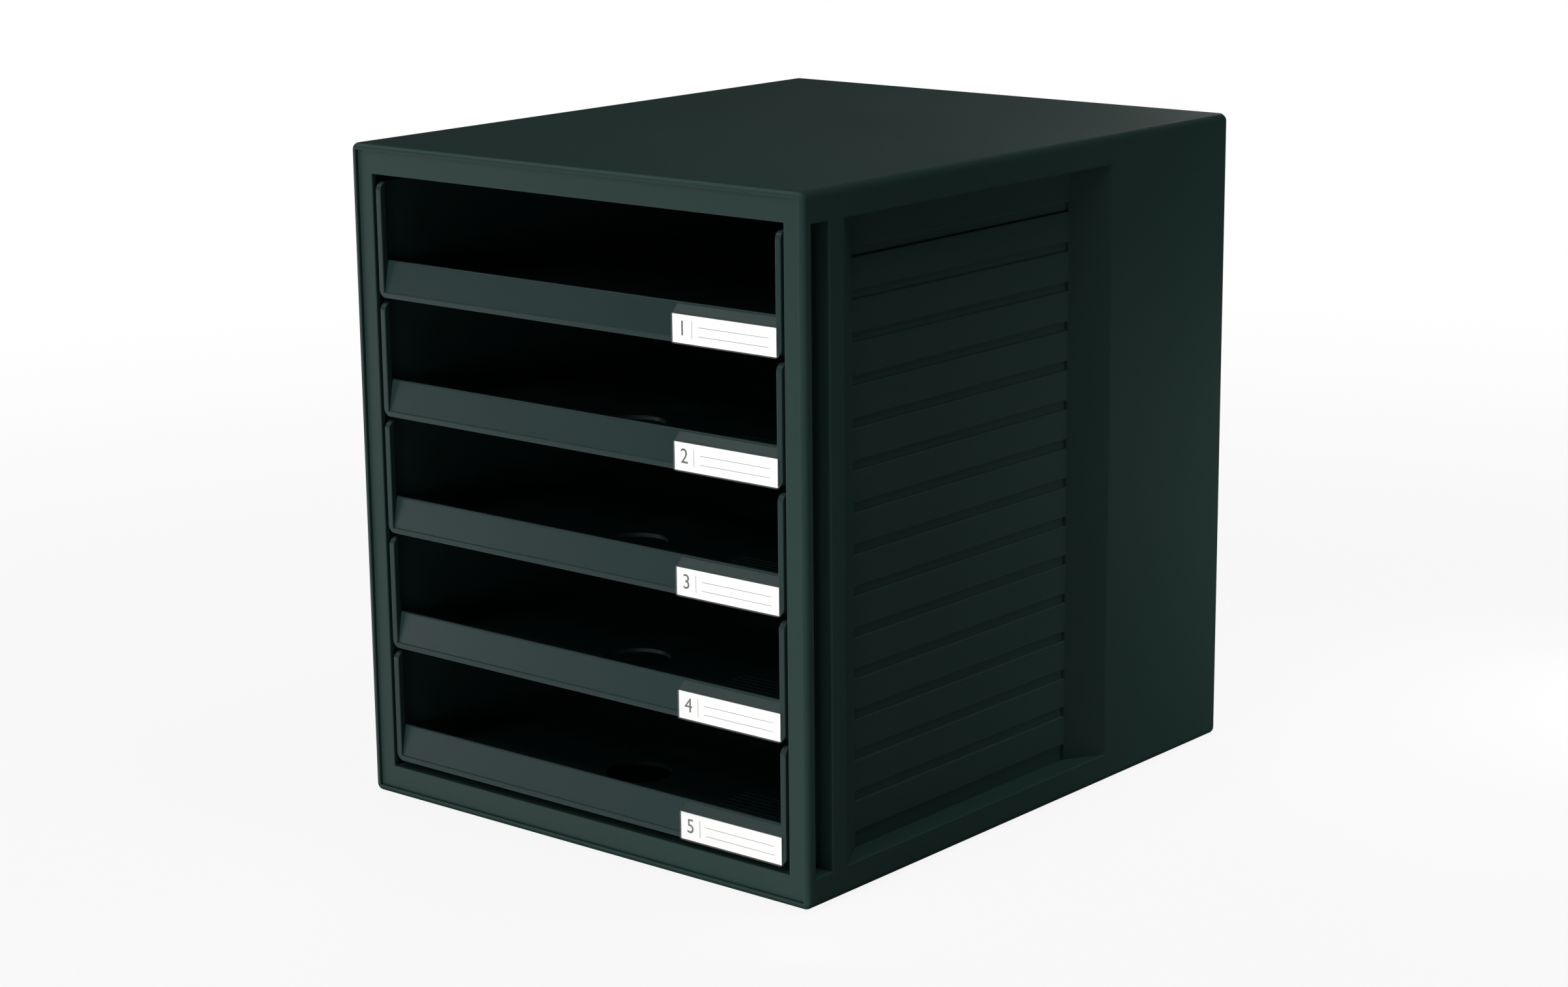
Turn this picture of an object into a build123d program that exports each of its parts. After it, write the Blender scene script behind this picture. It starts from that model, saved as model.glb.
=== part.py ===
from build123d import *
import os

# Desktop drawer organizer: a moulded casing with five open drawers.
# Millimetres, +Z up. The origin is the middle of the footprint, on the surface it stands on.
# The open front faces -Y, and +X is on the right of someone who stands in front of it.

# Overall size
overall_width = 275.0
overall_depth = 330.0
overall_height = 320.0

# Casing
casing_wall = 3.2  # also the width of the rim round the mouth
edge_round = 3.5  # long edges from front to back
front_round = 2.6  # outer edge of the rim
rear_round = 2.5
rim_chamfer = 0.3

# Front frame and the mouth that it leaves
frame_setback = 1.6  # from the casing's front down to the frame's face
frame_thickness = 2.6
stile_width = 9.1
rail_height = 11.0
shelf_depth = 14.0  # ledge behind the top and bottom rails
shelf_thickness = 2.0
mouth_round = 0.5

# Back panel
panel_inset = 1.5
panel_thickness = 2.5
panel_border = 16.0
panel_field_depth = 0.8

# Sunk side panels: a louvred recess and an upright slot in each side
liner_wall = 1.3
slot_width = 12.0
slot_depth = 9.0
land_width = 9.5  # between the slot and the recess
recess_rear_land = 100.5  # from the recess to the casing's back edge
recess_run = 19.5  # how far the sloped end walls run from front to back
recess_edge_chamfer = 0.5
groove_height = 4.2
groove_depth = 1.0  # as seen from outside
rib_depth = 1.4  # how far the back of each groove stands into the casing
groove_rise = 4.1  # from a drawer's underside up to the top of the groove that carries it
slat_round = 0.7

# Drawers
drawer_count = 5
slats_per_drawer = 3
sill_gap = 3.5  # under the lowest drawer
head_gap = 3.6  # over the highest drawer
drawer_gap = 2.4  # between one drawer's top and the next one's underside
drawer_inset = 0.3  # from the frame's face to the drawers' front
drawer_rear_gap = 1.5
side_clearance = 0.4  # from a drawer to the ribs and the liner beside it
side_wall = 2.0
rear_wall = 2.0
floor_thickness = 2.0
corner_round = 4.0  # lower long edges, and the top front corner of each side
bead_width = 3.2  # thickened front edge of each side
bead_depth = 3.0
front_edge_round = 0.4  # edges of the strips and of the ledge
lip_height = 17.7
lip_lean = 2.6
lip_thickness = 2.0
lip_round = 0.8
ledge_height = 2.7
ledge_step = 0.8

# Floor details of a drawer
hole_diameter = 32.0
hole_offset = -13.0  # from the middle, towards the left
hole_setback = 53.9  # from the drawer's front to the hole's centre
tread_count = 10
tread_length = 72.0
tread_pitch = 3.9
tread_width = 1.0
tread_proud = 0.4
tread_setback = 26.9  # from the drawer's front to the first tread
tread_wall_gap = 3.0

# Guide strips, and the stops that end a drawer's travel
runner_clearance = 0.3  # over the rib that carries it
runner_height = 3.0
runner_setback = 20.0
stop_setback = 72.1  # from the drawer's front, when it is shut, to the stop's rear face
stop_length = 6.0
stop_clearance = 0.8  # over the guide strip
nib_height = 3.5
nib_length = 6.0

# Label sleeves and cards
sleeve_length = 60.0
sleeve_height = 13.8
sleeve_thickness = 1.2
sleeve_drop = 0.3  # below the drawer's underside
sleeve_side_inset = 1.7  # from the drawer's right side to the sleeve's right end
window_wall = 0.35
sleeve_edge_wall = 0.5
sleeve_round = 1.0
card_length = 59.0
card_thickness = 0.3
card_clearance = 0.1

# Rubber feet
foot_diameter = 14.0
foot_proud = 1.0
foot_sunk = 1.2
foot_clearance = 0.1
foot_chamfer = 0.4
foot_side_inset = 22.0
foot_end_inset = 24.0

# Places worked out from the sizes above
half_width = overall_width / 2
front_y = -overall_depth / 2
back_y = overall_depth / 2
casing_bottom = foot_proud
cavity_half = half_width - casing_wall
cavity_bottom = casing_bottom + casing_wall
cavity_top = overall_height - casing_wall
mouth_half = cavity_half - stile_width
mouth_bottom = cavity_bottom + rail_height
mouth_top = cavity_top - rail_height
frame_face_y = front_y + frame_setback
frame_rear_y = frame_face_y + frame_thickness
panel_face_y = back_y - panel_inset - panel_thickness
recess_floor_x = mouth_half + liner_wall
slot_front_y = frame_rear_y + liner_wall
slot_back_y = slot_front_y + slot_width
recess_front_y = slot_back_y + land_width
recess_back_y = back_y - recess_rear_land
floor_front_y = recess_front_y + recess_run
floor_back_y = recess_back_y - recess_run
stack_height = mouth_top - mouth_bottom - sill_gap - head_gap
drawer_pitch = (stack_height + drawer_gap) / drawer_count
drawer_height = drawer_pitch - drawer_gap
slat_pitch = drawer_pitch / slats_per_drawer
lowest_underside = mouth_bottom + sill_gap
drawer_half = mouth_half - rib_depth - side_clearance
tray_half = drawer_half - side_wall
drawer_front_y = frame_face_y + drawer_inset
drawer_back_y = panel_face_y - drawer_rear_gap
runner_bottom = groove_rise + liner_wall + runner_clearance
runner_tip_x = mouth_half - side_clearance
foot_places = {
    "front_left": (foot_side_inset - half_width, front_y + foot_end_inset),
    "front_right": (half_width - foot_side_inset, front_y + foot_end_inset),
    "back_left": (foot_side_inset - half_width, back_y - foot_end_inset),
    "back_right": (half_width - foot_side_inset, back_y - foot_end_inset),
}
overlap = 1.0  # how far a cutting shape runs past the face that it cuts
pick = 0.01  # how near an edge lies to the plane that it is picked by


def block(x_low, x_high, y_low, y_high, z_low, z_high):
    """A box between two corners."""
    centre = Pos((x_low + x_high) / 2, (y_low + y_high) / 2, (z_low + z_high) / 2)
    return centre * Box(x_high - x_low, y_high - y_low, z_high - z_low)


def both_sides(shape):
    """A shape of the right-hand side, with its mirror image on the left."""
    return [shape, mirror(shape, about=Plane.YZ)]


def level_prism(points, z_low, z_high):
    """An outline in plan, raised from one height to another."""
    outline = Plane.XY.offset(z_low) * Polygon(*points, align=None)
    return extrude(outline, amount=z_high - z_low, dir=(0, 0, 1))


def side_prism(points, x_low, x_high):
    """An outline seen from the right (y, z), drawn out from one x to another."""
    outline = Plane.YZ.offset(x_low) * Polygon(*points, align=None)
    return extrude(outline, amount=x_high - x_low, dir=(1, 0, 0))


def groove_top(index):
    """Height of the upper edge of a groove, counted from the lowest one."""
    return lowest_underside + groove_rise + index * slat_pitch


def groove_bottom(index):
    """The lowest groove runs down to the recess's bottom wall."""
    if index == 0:
        return mouth_bottom
    return groove_top(index) - groove_height


def recess_outline(wall):
    """The louvred recess in plan, right side, grown on its inner side by a wall."""
    slope = (half_width - recess_floor_x) / recess_run
    shift = wall * ((1 + slope**2) ** 0.5 - 1) / slope
    floor_x = recess_floor_x - wall
    reach = (half_width + overlap - floor_x) / slope
    front = floor_front_y - shift
    back = floor_back_y + shift
    return [
        (floor_x, front),
        (half_width + overlap, front - reach),
        (half_width + overlap, back + reach),
        (floor_x, back),
    ]


def pane(x_low, x_high, z_low, z_high):
    """A flat rectangle between two corners, drawn in x and z."""
    centre = Pos((x_low + x_high) / 2, (z_low + z_high) / 2)
    return centre * Rectangle(x_high - x_low, z_high - z_low)


def groove_comb():
    """Section of the grooves on the right side, with the slats' long edges rounded."""
    face_x = recess_floor_x
    comb = pane(face_x, face_x + overlap, mouth_bottom, mouth_top)
    for index in range(drawer_count * slats_per_drawer):
        comb += pane(face_x - groove_depth, face_x, groove_bottom(index), groove_top(index))
    slat_corners = [
        corner
        for corner in comb.vertices()
        if abs(corner.X - face_x) < pick and corner.Y > mouth_bottom + pick
    ]
    return fillet(slat_corners, slat_round)


def recess_void():
    """What the moulding leaves open in the right side: recess, grooves and slot."""
    recess = level_prism(recess_outline(0), mouth_bottom, mouth_top)
    slot = block(
        half_width - slot_depth,
        half_width + overlap,
        slot_front_y,
        slot_back_y,
        mouth_bottom,
        mouth_top,
    )
    back_plane = Plane(origin=(0, floor_back_y, 0), x_dir=(1, 0, 0), z_dir=(0, -1, 0))
    run = floor_back_y - floor_front_y
    grooves = extrude(back_plane * groove_comb(), amount=run, dir=(0, -1, 0))
    return [recess, slot, grooves]


def liner_shell():
    """The same shapes grown by the liner's wall, with a stop for each drawer's nib."""
    low = mouth_bottom - liner_wall
    high = mouth_top + liner_wall
    recess = level_prism(recess_outline(liner_wall), low, high)
    slot = block(
        half_width - slot_depth - liner_wall,
        half_width,
        slot_front_y - liner_wall,
        slot_back_y + liner_wall,
        low,
        high,
    )
    shells = [recess, slot]
    rib_x = mouth_half - rib_depth
    root_x = mouth_half + liner_wall / 2
    for index in range(drawer_count * slats_per_drawer):
        bottom = groove_bottom(index) - liner_wall
        top = groove_top(index) + liner_wall
        shells.append(block(rib_x, root_x, floor_front_y, floor_back_y, bottom, top))
    stop_back_y = drawer_front_y + stop_setback
    stop_front_y = stop_back_y - stop_length
    for drawer in range(drawer_count):
        underside = lowest_underside + drawer * drawer_pitch
        bottom = underside + runner_bottom + runner_height + stop_clearance
        top = groove_bottom(drawer * slats_per_drawer + 1)
        shells.append(block(rib_x, root_x, stop_front_y, stop_back_y, bottom, top))
    return shells


def make_casing():
    """One moulding: top, bottom and both sides, open at the front and at the back."""
    outer = block(-half_width, half_width, front_y, back_y, casing_bottom, overall_height)
    outer = fillet(outer.edges().filter_by(Axis.Y), edge_round)
    outer = fillet(outer.faces().sort_by(Axis.Y)[0].edges(), front_round)
    outer = fillet(outer.faces().sort_by(Axis.Y)[-1].edges(), rear_round)
    cavity = block(
        -cavity_half,
        cavity_half,
        front_y - overlap,
        back_y + overlap,
        cavity_bottom,
        cavity_top,
    )
    sleeve = outer - cavity
    rim_edges = [
        edge
        for edge in sleeve.edges().filter_by_position(Axis.Y, front_y - pick, front_y + pick)
        if abs(edge.center().X) < cavity_half + pick
        and cavity_bottom - pick < edge.center().Z < cavity_top + pick
    ]
    sleeve = chamfer(rim_edges, rim_chamfer)
    liner = [side & cavity for shell in liner_shell() for side in both_sides(shell)]
    voids = [side for void in recess_void() for side in both_sides(void)]
    foot_seat = Cylinder(
        foot_diameter / 2 + foot_clearance,
        foot_sunk,
        align=(Align.CENTER, Align.CENTER, Align.MIN),
    )
    for x, y in foot_places.values():
        voids.append(Pos(x, y, casing_bottom) * foot_seat)
    casing = (sleeve + liner) - voids
    outline_edges = [
        edge
        for edge in casing.edges()
        if abs(abs(edge.center().X) - half_width) < pick
        and slot_front_y - pick < edge.center().Y < recess_back_y + pick
        and mouth_bottom - pick < edge.center().Z < mouth_top + pick
    ]
    return chamfer(outline_edges, recess_edge_chamfer)


def make_front_frame():
    """Ring pressed into the casing's mouth, with a ledge behind its top and bottom rails."""
    frame = block(
        -cavity_half, cavity_half, frame_face_y, frame_rear_y, cavity_bottom, cavity_top
    )
    frame -= block(
        -mouth_half,
        mouth_half,
        frame_face_y - overlap,
        frame_rear_y + overlap,
        mouth_bottom,
        mouth_top,
    )
    mouth_edges = [
        edge
        for edge in frame.edges().filter_by_position(
            Axis.Y, frame_face_y - pick, frame_face_y + pick
        )
        if abs(edge.center().X) < mouth_half + pick
        and mouth_bottom - pick < edge.center().Z < mouth_top + pick
    ]
    frame = fillet(mouth_edges, mouth_round)
    shelf_back_y = frame_rear_y + shelf_depth
    frame += block(
        -mouth_half,
        mouth_half,
        frame_rear_y,
        shelf_back_y,
        mouth_bottom - shelf_thickness,
        mouth_bottom,
    )
    frame += block(
        -mouth_half,
        mouth_half,
        frame_rear_y,
        shelf_back_y,
        mouth_top,
        mouth_top + shelf_thickness,
    )
    return frame


def make_back_panel():
    """Panel that closes the casing's rear mouth, with a slightly sunk field."""
    panel_rear_y = panel_face_y + panel_thickness
    panel = block(
        -cavity_half, cavity_half, panel_face_y, panel_rear_y, cavity_bottom, cavity_top
    )
    field = block(
        -cavity_half + panel_border,
        cavity_half - panel_border,
        panel_rear_y - panel_field_depth,
        panel_rear_y + overlap,
        cavity_bottom + panel_border,
        cavity_top - panel_border,
    )
    field = fillet(field.edges().filter_by(Axis.Y), panel_border / 2)
    return panel - field


def drawer_side(underside):
    """Right-hand side of a drawer, thicker along its front edge."""
    plate = block(
        tray_half,
        drawer_half,
        drawer_front_y,
        drawer_back_y,
        underside,
        underside + drawer_height,
    )
    plate += block(
        drawer_half - bead_width,
        drawer_half,
        drawer_front_y,
        drawer_front_y + bead_depth,
        underside,
        underside + drawer_height,
    )
    top_front = plate.edges().filter_by(Axis.X).group_by(Axis.Z)[-1].sort_by(Axis.Y)[0]
    return fillet(top_front, corner_round)


def drawer_lip(underside):
    """Low front between the sides: a ledge, and a face that leans back."""
    foot_y = drawer_front_y + ledge_step
    top_y = foot_y + lip_lean
    top_z = underside + lip_height
    points = [
        (drawer_front_y, underside),
        (drawer_front_y, underside + ledge_height),
        (foot_y, underside + ledge_height),
        (top_y, top_z),
        (top_y + lip_thickness, top_z),
        (foot_y + lip_thickness, underside + floor_thickness),
        (foot_y + lip_thickness, underside),
    ]
    lip = side_prism(points, -tray_half, tray_half)
    top_edges = lip.edges().filter_by(Axis.X).group_by(Axis.Z)[-1]
    return fillet(top_edges, lip_round)


def label_seat(underside):
    """Upright pad on the lip that the label sleeve is fixed to, with a slope up to the lip's top."""
    right_x = drawer_half - bead_width + front_edge_round
    left_x = drawer_half - sleeve_side_inset - sleeve_length
    foot_y = drawer_front_y + ledge_step
    low_z = underside + front_edge_round
    top_z = underside + sleeve_height - sleeve_drop
    points = [
        (drawer_front_y, low_z),
        (drawer_front_y, top_z),
        (foot_y + lip_lean, underside + lip_height - lip_round),
        (foot_y + lip_thickness, low_z),
    ]
    return side_prism(points, left_x, right_x)


def make_drawer(underside):
    """Open tray: floor, high sides and back, low lip, finger hole, treads, guide strips."""
    top = underside + drawer_height
    floor = block(
        -drawer_half,
        drawer_half,
        drawer_front_y,
        drawer_back_y,
        underside,
        underside + floor_thickness,
    )
    rear = block(
        -drawer_half, drawer_half, drawer_back_y - rear_wall, drawer_back_y, underside, top
    )
    drawer = floor + rear + drawer_lip(underside)
    for side in both_sides(drawer_side(underside)):
        drawer += side
    lower_edges = [
        edge
        for edge in drawer.edges().filter_by(Axis.Y)
        if abs(edge.center().Z - underside) < pick and abs(edge.center().X) > tray_half
    ]
    drawer = fillet(lower_edges, corner_round)
    outline_edges = drawer.faces().sort_by(Axis.Y)[0].edges()
    drawer = fillet(outline_edges, front_edge_round)
    drawer += label_seat(underside)
    hole = Pos(hole_offset, drawer_front_y + hole_setback, underside + floor_thickness / 2)
    drawer -= hole * Cylinder(hole_diameter / 2, floor_thickness + overlap)
    tread_right_x = tray_half - tread_wall_gap
    floor_top = underside + floor_thickness
    for index in range(tread_count):
        tread_y = drawer_front_y + tread_setback + index * tread_pitch
        drawer += block(
            tread_right_x - tread_length,
            tread_right_x,
            tread_y,
            tread_y + tread_width,
            floor_top,
            floor_top + tread_proud,
        )
    runner_low = underside + runner_bottom
    runner = block(
        drawer_half,
        runner_tip_x,
        drawer_front_y + runner_setback,
        drawer_back_y,
        runner_low,
        runner_low + runner_height,
    )
    runner += block(
        drawer_half,
        runner_tip_x,
        drawer_back_y - nib_length,
        drawer_back_y,
        runner_low,
        runner_low + runner_height + nib_height,
    )
    for side in both_sides(runner):
        drawer += side
    return drawer


def sleeve_box(underside):
    """Corners of a label sleeve on its drawer."""
    right_x = drawer_half - sleeve_side_inset
    low_z = underside - sleeve_drop
    return (
        right_x - sleeve_length,
        right_x,
        drawer_front_y - sleeve_thickness,
        drawer_front_y,
        low_z,
        low_z + sleeve_height,
    )


def make_label_holder(underside):
    """Flat clear sleeve, open at its left end."""
    x_low, x_high, y_low, y_high, z_low, z_high = sleeve_box(underside)
    sleeve = block(x_low, x_high, y_low, y_high, z_low, z_high)
    sleeve = fillet(sleeve.edges().filter_by(Axis.Y), sleeve_round)
    sleeve -= block(
        x_low - overlap,
        x_high - sleeve_edge_wall,
        y_low + window_wall,
        y_high - window_wall,
        z_low + sleeve_edge_wall,
        z_high - sleeve_edge_wall,
    )
    return sleeve


def make_label_card(underside):
    """White card that lies against the back of its sleeve."""
    x_low, x_high, y_low, y_high, z_low, z_high = sleeve_box(underside)
    card_right_x = x_high - sleeve_edge_wall - card_clearance
    card_back_y = y_high - window_wall
    return block(
        card_right_x - card_length,
        card_right_x,
        card_back_y - card_thickness,
        card_back_y,
        z_low + sleeve_edge_wall,
        z_high - sleeve_edge_wall - card_clearance,
    )


def make_foot(x, y):
    """Round rubber foot, half sunk in the casing's underside."""
    foot = Cylinder(
        foot_diameter / 2,
        foot_proud + foot_sunk,
        align=(Align.CENTER, Align.CENTER, Align.MIN),
    )
    foot = chamfer(foot.edges().sort_by(Axis.Z)[0], foot_chamfer)
    return Pos(x, y, 0) * foot


os.makedirs("parts", exist_ok=True)

export_step(make_casing(), "parts/casing.step")
export_step(make_front_frame(), "parts/front_frame.step")
export_step(make_back_panel(), "parts/back_panel.step")

# Drawers are numbered from the top down
for number in range(1, drawer_count + 1):
    underside_z = lowest_underside + (drawer_count - number) * drawer_pitch
    export_step(make_drawer(underside_z), f"parts/drawer_{number}.step")
    export_step(make_label_holder(underside_z), f"parts/label_holder_{number}.step")
    export_step(make_label_card(underside_z), f"parts/label_card_{number}.step")

for place, (foot_x, foot_y) in foot_places.items():
    export_step(make_foot(foot_x, foot_y), f"parts/foot_{place}.step")
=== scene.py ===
import math

import bpy
from mathutils import Matrix, Vector


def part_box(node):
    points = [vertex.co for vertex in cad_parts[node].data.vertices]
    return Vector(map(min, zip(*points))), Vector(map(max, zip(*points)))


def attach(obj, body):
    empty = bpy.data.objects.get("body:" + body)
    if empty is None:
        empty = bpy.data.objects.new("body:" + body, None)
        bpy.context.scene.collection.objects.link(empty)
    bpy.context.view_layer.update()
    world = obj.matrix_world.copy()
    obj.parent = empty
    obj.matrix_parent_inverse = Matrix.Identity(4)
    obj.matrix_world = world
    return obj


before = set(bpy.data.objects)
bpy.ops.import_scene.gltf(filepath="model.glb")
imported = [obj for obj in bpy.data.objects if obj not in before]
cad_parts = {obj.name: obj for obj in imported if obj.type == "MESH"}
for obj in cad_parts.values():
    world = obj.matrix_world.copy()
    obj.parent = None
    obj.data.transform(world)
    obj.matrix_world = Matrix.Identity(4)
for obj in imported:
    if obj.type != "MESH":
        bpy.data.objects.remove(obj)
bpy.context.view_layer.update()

MM = 0.001
DRAWER_NUMBERS = (1, 2, 3, 4, 5)  # from the top drawer down

# The photograph's viewpoint
PHOTO_WIDTH = 2408
FOCAL_PIXELS = 5102.9
SENSOR_WIDTH = 36.0
CAMERA_PLACE = Vector((1.0141, -1.2300, 0.5223))
CAMERA_AZIMUTH = math.radians(39.836)
CAMERA_ELEVATION = math.radians(13.516)
CAMERA_ROLL = math.radians(-0.567)

# Colours, as linear light
CASING_GREEN = (0.0133, 0.0300, 0.0262, 1.0)
# Paler edge colour: a painted highlight along the casing's rounded edges
CASING_EDGE_HIGHLIGHT = (0.0220, 0.0450, 0.0395, 1.0)
DRAWER_GREEN = (0.0122, 0.0265, 0.0252, 1.0)
# Paler edge colour: a painted highlight along the drawers' rounded edges
DRAWER_EDGE_HIGHLIGHT = (0.0240, 0.0470, 0.0440, 1.0)
RUBBER_BLACK = (0.0100, 0.0100, 0.0100, 1.0)
RUBBER_DUST = (0.0350, 0.0340, 0.0320, 1.0)
CARD_WHITE = (0.870, 0.865, 0.850, 1.0)
CARD_FIBRE = (0.780, 0.775, 0.755, 1.0)
PRINT_GREY = (0.090, 0.095, 0.100, 1.0)
INK_BLACK = (0.014, 0.015, 0.017, 1.0)
SLEEVE_CLEAR = (0.800, 0.840, 0.840, 1.0)
FLOOR_WHITE = (0.500, 0.500, 0.497, 1.0)
PURE_WHITE = (1.0, 1.0, 1.0, 1.0)

# Moulded plastic
PLASTIC_IOR = 1.49
MOULDING_SHINE = 0.09  # specular level: the grained moulding is almost matt
EDGE_ROUND = 0.45 * MM
CASING_ROUGHNESS = 0.46
CASING_GRAIN = 0.55 * MM
CASING_GRAIN_DEPTH = 0.045 * MM
DRAWER_ROUGHNESS = 0.33
DRAWER_GRAIN = 0.40 * MM
DRAWER_GRAIN_DEPTH = 0.025 * MM
FLOW_CLOUD = 60 * MM  # size of the clouds left by the flow in the mould
# Size of the patches along the edges that are smoother from rubbing and paler from a painted
# highlight
RUBBED_HIGHLIGHT_PATCH = 7 * MM

# Printing on a card: places are shares of its length and height
DIVIDER_PLACE = 0.19
DIVIDER_ENDS = (0.18, 0.82)
DIVIDER_HALF_WIDTH = 0.0030
LINE_PLACES = (0.62, 0.30)
LINE_ENDS = (0.25, 0.93)
LINE_HALF_WIDTH = 0.012
PRINT_STRENGTH = 0.80
NUMERAL_SIZE = 9.6 * MM
NUMERAL_THICKNESS = 0.02 * MM
NUMERAL_INSET = 5.6 * MM  # from the card's left end to the numeral's middle
NUMERAL_PROUD = 0.03 * MM

# The surround
GLOSS_LEVEL = 0.01  # white seen in gloss: the studio was dark beside and behind the box
SOFT_LEVEL = 0.04  # even light from all sides
FLOOR_SIZE = 40.0
FLOOR_DROP = 0.2 * MM  # below the feet
FLOOR_WHITE_SHARE = 0.90  # the rest is lit, and keeps the shadow
FLOOR_FADE = (0.45, 1.5)  # metres from the middle, over which the rest goes

# What the lamps are aimed at
DRAWER_FRONTS = (0.0, -0.16, 0.16)


class Signal:
    """A socket of a node tree. Sums and products of signals add Math nodes."""

    def __init__(self, tree, socket):
        self.tree = tree
        self.socket = socket

    def output(self, name):
        return Signal(self.tree, self.socket.node.outputs[name])

    def __add__(self, other):
        return self.tree.maths("ADD", self, other)

    def __radd__(self, other):
        return self.tree.maths("ADD", other, self)

    def __sub__(self, other):
        return self.tree.maths("SUBTRACT", self, other)

    def __rsub__(self, other):
        return self.tree.maths("SUBTRACT", other, self)

    def __mul__(self, other):
        return self.tree.maths("MULTIPLY", self, other)

    def __rmul__(self, other):
        return self.tree.maths("MULTIPLY", other, self)


class Tree:
    """The nodes of one material or of the world."""

    def __init__(self, owner):
        owner.use_nodes = True
        self.owner = owner
        self.nodes = owner.node_tree.nodes
        self.links = owner.node_tree.links
        self.nodes.clear()

    def node(self, kind, settings=(), inputs=(), output=0):
        """A new node of that kind. Its inputs are values or signals."""
        made = self.nodes.new(kind)
        for key, value in dict(settings).items():
            setattr(made, key, value)
        for key, value in dict(inputs).items():
            if isinstance(value, Signal):
                self.links.new(value.socket, made.inputs[key])
            else:
                made.inputs[key].default_value = value
        if not made.outputs:
            return None
        return Signal(self, made.outputs[output])

    def maths(self, operation, first, second):
        return self.node("ShaderNodeMath", {"operation": operation}, {0: first, 1: second})

    def place_on_piece(self):
        """Where a point lies on its piece, in metres."""
        return self.node("ShaderNodeTexCoord").output("Object")

    def blend_colours(self, share, first, second):
        inputs = {0: share, 6: first, 7: second}
        return self.node("ShaderNodeMix", {"data_type": "RGBA"}, inputs, 2)

    def step_between(self, signal, low, high):
        """0 below low, 1 above high, and a smooth rise between them."""
        return self.node(
            "ShaderNodeMapRange",
            {"interpolation_type": "SMOOTHSTEP"},
            {"Value": signal, "From Min": low, "From Max": high, "To Min": 0.0, "To Max": 1.0},
        )

    def noise(self, place, size, detail=2.0, roughness=0.5):
        """Soft noise from 0 to 1, with lumps of that size in metres."""
        return self.node(
            "ShaderNodeTexNoise",
            {"noise_dimensions": "3D"},
            {"Vector": place, "Scale": 1.0 / size, "Detail": detail, "Roughness": roughness},
        )

    def relief(self, height, depth, strength, **on):
        """A surface bumped by height, depth metres deep where height is 1."""
        inputs = {"Strength": strength, "Distance": depth, "Height": height, **on}
        return self.node("ShaderNodeBump", {}, inputs)

    def finished(self, inputs):
        """The material, with one Principled shader that has these inputs."""
        surface = self.node("ShaderNodeBsdfPrincipled", {}, inputs)
        self.node("ShaderNodeOutputMaterial", {}, {"Surface": surface})
        return self.owner


def moulded_plastic(name, colour, edge_highlight_colour, roughness, grain_size, grain_depth):
    """Injection-moulded plastic with a fine grain, smoother at its rubbed edges and paler there
    with a painted highlight.
    """
    tree = Tree(bpy.data.materials.new(name))
    place = tree.place_on_piece()
    rounded = tree.node("ShaderNodeBevel", {"samples": 6}, {"Radius": EDGE_ROUND})
    flat = tree.node("ShaderNodeNewGeometry").output("Normal")
    turned = tree.node("ShaderNodeVectorMath", {"operation": "DOT_PRODUCT"}, {0: rounded, 1: flat})
    edge = tree.step_between(1.0 - turned.output("Value"), 0.02, 0.22)
    grain = tree.noise(place, grain_size, detail=3.0, roughness=0.62)
    flow = tree.noise(place, FLOW_CLOUD, detail=3.0)
    # Painted highlight: along the edges, in patches, the base colour blends towards the paler edge
    # colour; the same patches make the edges smoother, as rubbing does.
    rubbed_highlight_patches = tree.noise(place, RUBBED_HIGHLIGHT_PATCH, detail=4.0, roughness=0.65)
    rubbed_and_highlit_edge = edge * tree.step_between(rubbed_highlight_patches, 0.30, 0.62)
    body = tree.blend_colours(rubbed_and_highlit_edge * 0.55, colour, edge_highlight_colour)
    tone = 0.90 + 0.12 * flow + 0.10 * grain
    shaded = tree.node("ShaderNodeVectorMath", {"operation": "SCALE"}, {0: body, "Scale": tone})
    return tree.finished({
        "Base Color": shaded,
        "Roughness": roughness - 0.05 + 0.07 * flow + 0.06 * grain - 0.07 * rubbed_and_highlit_edge,
        "Normal": tree.relief(grain, grain_depth, 0.55, Normal=rounded),
        "IOR": PLASTIC_IOR,
        "Specular IOR Level": MOULDING_SHINE,
    })


def sole_rubber():
    """Crumbly black rubber with dust on it, for the feet."""
    tree = Tree(bpy.data.materials.new("foot_rubber_finish"))
    place = tree.place_on_piece()
    crumb = tree.noise(place, 0.6 * MM, detail=4.0, roughness=0.7)
    dust = tree.step_between(tree.noise(place, 3 * MM, detail=3.0), 0.45, 0.75)
    return tree.finished({
        "Base Color": tree.blend_colours(dust * 0.5, RUBBER_BLACK, RUBBER_DUST),
        "Roughness": 0.72 + 0.15 * crumb,
        "Normal": tree.relief(crumb, 0.08 * MM, 0.6),
        "Specular IOR Level": 0.3,
    })


def clear_sleeve():
    """Thin clear plastic: nearly invisible on its faces, greyer at its turned edges."""
    tree = Tree(bpy.data.materials.new("clear_sleeve_finish"))
    rim = tree.node("ShaderNodeLayerWeight", {}, {"Blend": 0.35}, 1)
    haze = tree.noise(tree.place_on_piece(), 2.5 * MM, detail=4.0, roughness=0.6)
    return tree.finished({
        "Base Color": tree.blend_colours(haze, SLEEVE_CLEAR, CARD_WHITE),
        "Roughness": 0.08 + 0.10 * haze,
        "Alpha": 0.02 + 0.02 * haze + 0.10 * rim,
        "IOR": PLASTIC_IOR,
    })


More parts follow.
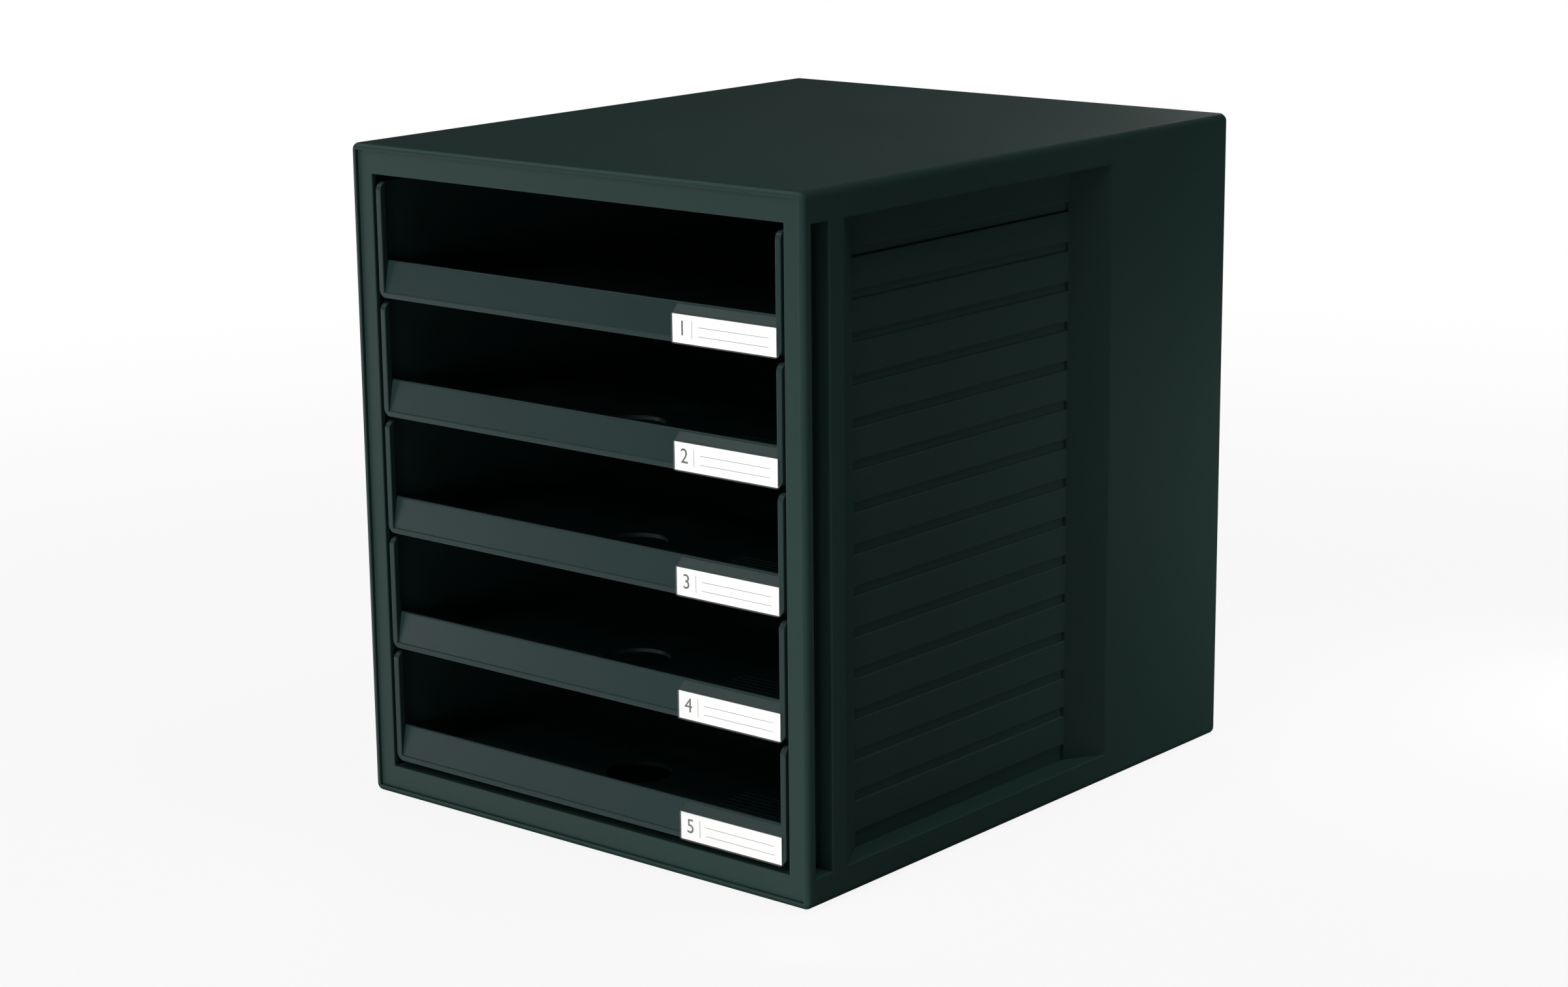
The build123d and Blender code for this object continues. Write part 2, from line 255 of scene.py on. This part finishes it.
def insert_card():
    """Smooth white card with a printed divider and two writing lines."""
    tree = Tree(bpy.data.materials.new("insert_card_finish"))
    place = tree.place_on_piece()
    share_of_card = tree.node("ShaderNodeTexCoord").output("Generated")
    across = tree.node("ShaderNodeSeparateXYZ", {}, {0: share_of_card})
    up = across.output("Z")

    def stroke(signal, middle, half_width):
        away = tree.maths("ABSOLUTE", signal - middle, 0.0)
        return 1.0 - tree.step_between(away, half_width * 0.8, half_width * 1.2)

    def between(signal, ends):
        low, high = ends
        return tree.maths("GREATER_THAN", signal, low) * tree.maths("LESS_THAN", signal, high)

    divider = stroke(across, DIVIDER_PLACE, DIVIDER_HALF_WIDTH) * between(up, DIVIDER_ENDS)
    upper, lower = (stroke(up, line_place, LINE_HALF_WIDTH) for line_place in LINE_PLACES)
    lines = (upper + lower) * between(across, LINE_ENDS)
    fibre = tree.noise(place, 0.35 * MM, detail=4.0, roughness=0.7)
    cloud = tree.noise(place, 9 * MM, detail=2.0)
    paper = tree.blend_colours(0.45 * fibre + 0.35 * cloud, CARD_WHITE, CARD_FIBRE)
    return tree.finished({
        "Base Color": tree.blend_colours((divider + lines) * PRINT_STRENGTH, paper, PRINT_GREY),
        "Roughness": 0.55 + 0.15 * fibre,
        "Normal": tree.relief(fibre, 0.02 * MM, 0.3),
    })


def printing_ink():
    """Dark ink with a slightly uneven cover, for the numerals."""
    tree = Tree(bpy.data.materials.new("card_ink_finish"))
    cover = tree.noise(tree.place_on_piece(), 0.3 * MM, detail=3.0, roughness=0.7)
    return tree.finished({
        "Base Color": tree.blend_colours(0.35 * cover, INK_BLACK, PRINT_GREY),
        "Roughness": 0.45 + 0.2 * cover,
    })


def seen_white(tree, kind, plain, share):
    """A plain shader that straight rays and rays through clear plastic see as white.

    Gloss sees the white dimmed, and share says how much of it replaces the plain shader.
    """
    rays = tree.node("ShaderNodeLightPath")
    white = tree.node(kind, {}, {"Color": PURE_WHITE, "Strength": 1.0})
    dimmed = tree.node(kind, {}, {"Color": PURE_WHITE, "Strength": GLOSS_LEVEL})
    in_gloss = rays.output("Is Glossy Ray")
    other = tree.node("ShaderNodeMixShader", {}, {0: in_gloss, 1: plain, 2: dimmed})
    straight = rays.output("Is Camera Ray") + rays.output("Is Transmission Ray")
    return tree.node("ShaderNodeMixShader", {}, {0: straight * share, 1: other, 2: white})


def studio_floor():
    """A pale floor that fades into the white background, and keeps the shadow under the box."""
    bpy.ops.mesh.primitive_grid_add(
        x_subdivisions=8, y_subdivisions=8, size=FLOOR_SIZE, location=(0, 0, -FLOOR_DROP)
    )
    floor = bpy.context.object
    floor.name = "studio_floor"
    tree = Tree(bpy.data.materials.new("studio_floor_finish"))
    place = tree.place_on_piece()
    far = tree.node("ShaderNodeVectorMath", {"operation": "LENGTH"}, {0: place}).output("Value")
    plain = tree.node("ShaderNodeBsdfDiffuse", {}, {"Color": FLOOR_WHITE})
    lit_share = 1.0 - FLOOR_WHITE_SHARE
    share = FLOOR_WHITE_SHARE + lit_share * tree.step_between(far, *FLOOR_FADE)
    surface = seen_white(tree, "ShaderNodeEmission", plain, share)
    tree.node("ShaderNodeOutputMaterial", {}, {"Surface": surface})
    floor.data.materials.append(tree.owner)


def studio_world():
    """White where it is seen, and a weak even light on the box."""
    tree = Tree(bpy.data.worlds.new("studio"))
    bpy.context.scene.world = tree.owner
    soft = tree.node("ShaderNodeBackground", {}, {"Color": PURE_WHITE, "Strength": SOFT_LEVEL})
    surface = seen_white(tree, "ShaderNodeBackground", soft, 1.0)
    tree.node("ShaderNodeOutputWorld", {}, {"Surface": surface})


def softbox(name, place, target, size, power, in_gloss=True, in_matt=True):
    """A lamp of that width and height in metres, hidden from the camera."""
    lamp = bpy.data.lights.new(name, "AREA")
    lamp.shape = "RECTANGLE"
    lamp.size, lamp.size_y = size
    lamp.energy = power
    holder = bpy.data.objects.new(name, lamp)
    holder.location = place
    holder.visible_camera = False
    holder.visible_glossy = in_gloss
    holder.visible_diffuse = in_matt
    aim = Vector(target) - Vector(place)
    holder.rotation_euler = aim.to_track_quat("-Z", "Y").to_euler()
    bpy.context.scene.collection.objects.link(holder)


def light_box():
    """The lamps: softboxes on matt surfaces, and panels that only gloss shows."""
    # The front: the main light low and straight ahead, two weaker ones above it
    softbox("key_softbox", (0.02, -2.60, 0.30), DRAWER_FRONTS, (0.90, 0.45), 45.0, in_gloss=False)
    softbox("fill_softbox", (-0.30, -2.30, 1.45), DRAWER_FRONTS, (0.70, 0.50), 7.0)
    softbox("upper_softbox", (0.10, -1.25, 1.75), DRAWER_FRONTS, (0.60, 0.50), 9.0)
    # The top and the right side, the right side's rear end, then the back and left side
    softbox("top_softbox", (0.62, 0.15, 2.05), (0.10, 0.0, 0.20), (0.7, 0.7), 19.0, in_gloss=False)
    side_rear = (0.137, 0.15, 0.11)
    softbox("side_softbox", (0.35, 0.38, 0.10), side_rear, (0.15, 0.15), 0.80, in_gloss=False)
    back_left = (-0.05, 0.05, 0.16)
    softbox("back_softbox", (-2.00, 1.90, 0.55), back_left, (0.8, 0.6), 40.0, in_gloss=False)
    # Sheen on the top, on the front frame from its foot up, and on sloping edges
    softbox("rear_panel", (-0.45, 2.20, 0.60), (0.0, 0.10, 0.30), (0.8, 0.4), 32.0, in_matt=False)
    on_floor = Vector((-0.375, -0.537, 0.001))
    straight_up = on_floor + Vector((0.0, 0.0, 1.0))
    softbox("floor_panel", on_floor, straight_up, (1.05, 0.74), 4.6, in_matt=False)
    frame_foot = (-0.05, -0.16, 0.13)
    softbox("low_panel", (-0.75, -0.70, 0.07), frame_foot, (0.40, 0.12), 0.60, in_matt=False)
    softbox("left_panel", (-1.90, -1.00, 0.12), DRAWER_FRONTS, (0.8, 0.22), 9.0, in_matt=False)
    labels = (0.09, -0.16, 0.16)
    softbox("edge_panel", (-0.93, -0.56, 1.33), labels, (0.70, 0.70), 8.0, in_matt=False)
    # A strip just outside the right side's upright slot
    slot = (0.1375, -0.146, 0.16)
    softbox("slot_softbox", (0.170, -0.215, 0.16), slot, (0.02, 0.30), 0.036, in_gloss=False)


def photo_camera():
    """The camera at the photograph's viewpoint, without shift."""
    lens = bpy.data.cameras.new("photo_camera")
    lens.sensor_width = SENSOR_WIDTH
    lens.lens = FOCAL_PIXELS * SENSOR_WIDTH / PHOTO_WIDTH
    lens.clip_start = 0.05
    lens.clip_end = 100.0
    level = math.cos(CAMERA_ELEVATION)
    ahead = Vector((
        -math.sin(CAMERA_AZIMUTH) * level,
        math.cos(CAMERA_AZIMUTH) * level,
        -math.sin(CAMERA_ELEVATION),
    ))
    right = Vector((math.cos(CAMERA_AZIMUTH), math.sin(CAMERA_AZIMUTH), 0.0))
    above = right.cross(ahead)
    side = right * math.cos(CAMERA_ROLL) + above * math.sin(CAMERA_ROLL)
    above = side.cross(ahead)
    camera = bpy.data.objects.new("photo_camera", lens)
    turn = Matrix((side, above, -ahead)).transposed()
    camera.matrix_world = Matrix.Translation(CAMERA_PLACE) @ turn.to_4x4()
    bpy.context.scene.collection.objects.link(camera)
    bpy.context.scene.camera = camera


def card_numeral(number, ink):
    """The printed number at the left end of a drawer's card."""
    low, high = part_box(f"label_card_{number}")
    text = bpy.data.curves.new(f"card_numeral_{number}", "FONT")
    text.body = str(number)
    text.size = NUMERAL_SIZE
    text.extrude = NUMERAL_THICKNESS
    text.align_x = "CENTER"
    text.align_y = "CENTER"
    text.materials.append(ink)
    piece = bpy.data.objects.new(f"card_numeral_{number}", text)
    piece.location = (low.x + NUMERAL_INSET, low.y - NUMERAL_PROUD, (low.z + high.z) / 2)
    piece.rotation_euler = (math.radians(90), 0, 0)
    bpy.context.scene.collection.objects.link(piece)
    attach(piece, f"drawer_{number}_body")


def dress(names, finish):
    """Gives the CAD nodes of those names that finish."""
    for name in names:
        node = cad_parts[name]
        for slot in node.material_slots:
            slot.material = finish
        if not node.material_slots:
            node.data.materials.append(finish)


casing_finish = moulded_plastic(
    "casing_finish", CASING_GREEN, CASING_EDGE_HIGHLIGHT, CASING_ROUGHNESS, CASING_GRAIN, CASING_GRAIN_DEPTH
)
drawer_finish = moulded_plastic(
    "drawer_finish", DRAWER_GREEN, DRAWER_EDGE_HIGHLIGHT, DRAWER_ROUGHNESS, DRAWER_GRAIN, DRAWER_GRAIN_DEPTH
)
feet = [f"foot_{end}_{side}" for end in ("front", "back") for side in ("left", "right")]
dress(["casing", "front_frame", "back_panel"], casing_finish)
dress([f"drawer_{n}" for n in DRAWER_NUMBERS], drawer_finish)
dress([f"label_holder_{n}" for n in DRAWER_NUMBERS], clear_sleeve())
dress([f"label_card_{n}" for n in DRAWER_NUMBERS], insert_card())
dress(feet, sole_rubber())

ink = printing_ink()
for n in DRAWER_NUMBERS:
    card_numeral(n, ink)

studio_floor()
studio_world()
light_box()
photo_camera()
bpy.context.scene.view_settings.view_transform = "Standard"
